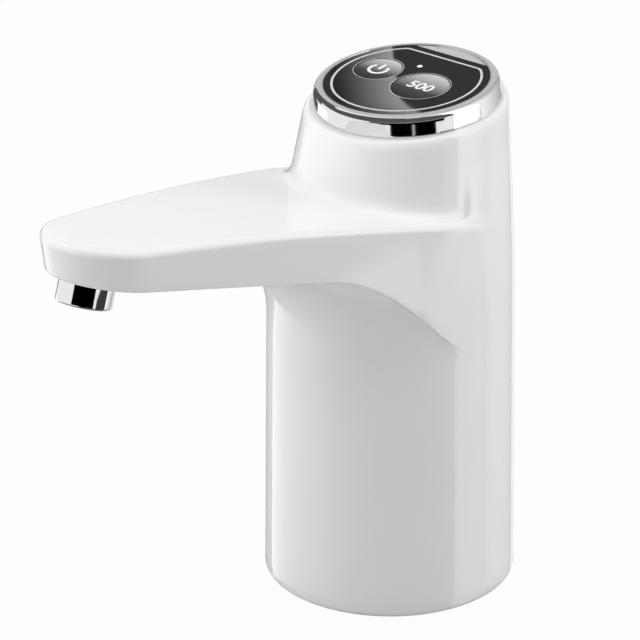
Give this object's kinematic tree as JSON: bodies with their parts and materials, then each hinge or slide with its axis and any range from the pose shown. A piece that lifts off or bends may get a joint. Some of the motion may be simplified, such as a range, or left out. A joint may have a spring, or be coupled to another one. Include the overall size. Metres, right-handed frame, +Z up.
{
  "type": "bottle-top electric water tap",
  "caption": "Upright rechargeable pump that caps a large water bottle, with a teardrop spout arm, a chrome outlet and a tilted round button panel.",
  "frame": {"origin": "centre of the bottle socket's mouth, on the bottom plane", "axes": "+Z up along the body, -Y along the spout arm, +X to the right seen from the spout's back"},
  "size_m": [0.0712, 0.1646, 0.151],
  "materials": {
    "white_plastic": "glossy white moulded plastic",
    "collar_plastic": "pale moulded plastic",
    "steel": "plain screw steel",
    "silicone": "grey silicone",
    "white_parts": "white moulded plastic",
    "hose": "soft food-grade hose",
    "pump_plastic": "ivory moulded plastic",
    "grey_plastic": "grey moulded plastic",
    "motor_steel": "drawn steel can",
    "copper": "wound copper",
    "cell_wrap": "heat-shrink wrapped steel cell",
    "board": "green circuit board",
    "chrome": "polished chrome plating",
    "satin_metal": "satin metal",
    "black_gloss": "glossy black panel",
    "red_plastic": "red moulded plastic",
    "lens": "clear light pipe"
  },
  "bodies": {
    "housing": {"body_shell": "white_plastic", "arm_cover": "white_plastic", "arm_screws": "steel", "bottle_collar": "collar_plastic", "collar_screws": "steel", "neck_gasket": "silicone", "intake_barb": "white_parts", "intake_tube": "hose", "pump_body": "pump_plastic", "pump_cover": "pump_plastic", "pump_screws": "steel", "idler_pin": "steel", "shaft_seal": "silicone", "chassis": "grey_plastic", "chassis_screws": "steel", "motor_can": "motor_steel", "motor_magnets": "grey_plastic", "motor_end_cap": "white_parts", "motor_screws": "steel", "outlet_tube": "hose", "battery_cell": "cell_wrap", "battery_cradle": "grey_plastic", "charge_board": "board", "charge_socket": "satin_metal", "top_ring": "chrome", "panel": "black_gloss", "panel_segment": "satin_metal", "panel_gasket": "silicone", "button_carrier": "grey_plastic", "power_switch": "grey_plastic", "dose_switch": "grey_plastic", "control_board": "board", "board_screws": "steel", "status_led": "lens", "light_pipe": "lens", "nozzle": "chrome", "nozzle_elbow": "white_parts", "nozzle_nut": "grey_plastic"},
    "power_button": {"power_button": "black_gloss", "power_plunger": "red_plastic"},
    "dose_button": {"dose_button": "black_gloss", "dose_plunger": "red_plastic"},
    "rotor": {"motor_shaft": "steel", "armature": "copper", "drive_gear": "pump_plastic"},
    "idler": {"idler_gear": "pump_plastic"}
  },
  "joints": [
    {"name": "power_press", "type": "slide", "parent": "housing", "child": "power_button", "axis": [0, 0.1028, -0.9947], "range_m": [0, 0.0006], "stiffness_N_per_m": 1500},
    {"name": "dose_press", "type": "slide", "parent": "housing", "child": "dose_button", "axis": [0, 0.1028, -0.9947], "range_m": [0, 0.0006], "stiffness_N_per_m": 1500},
    {"name": "rotor_spin", "type": "hinge", "parent": "housing", "child": "rotor", "pos_m": [0.0056, -0.0055, 0.06], "axis": [0, 0, 1], "continuous": true},
    {"name": "idler_spin", "type": "hinge", "parent": "housing", "child": "idler", "pos_m": [-0.0056, -0.0055, 0.06], "axis": [0, 0, 1], "continuous": true}
  ],
  "couplings": [
    {"joint": "idler_spin", "follows": "rotor_spin", "ratio": -1}
  ]
}
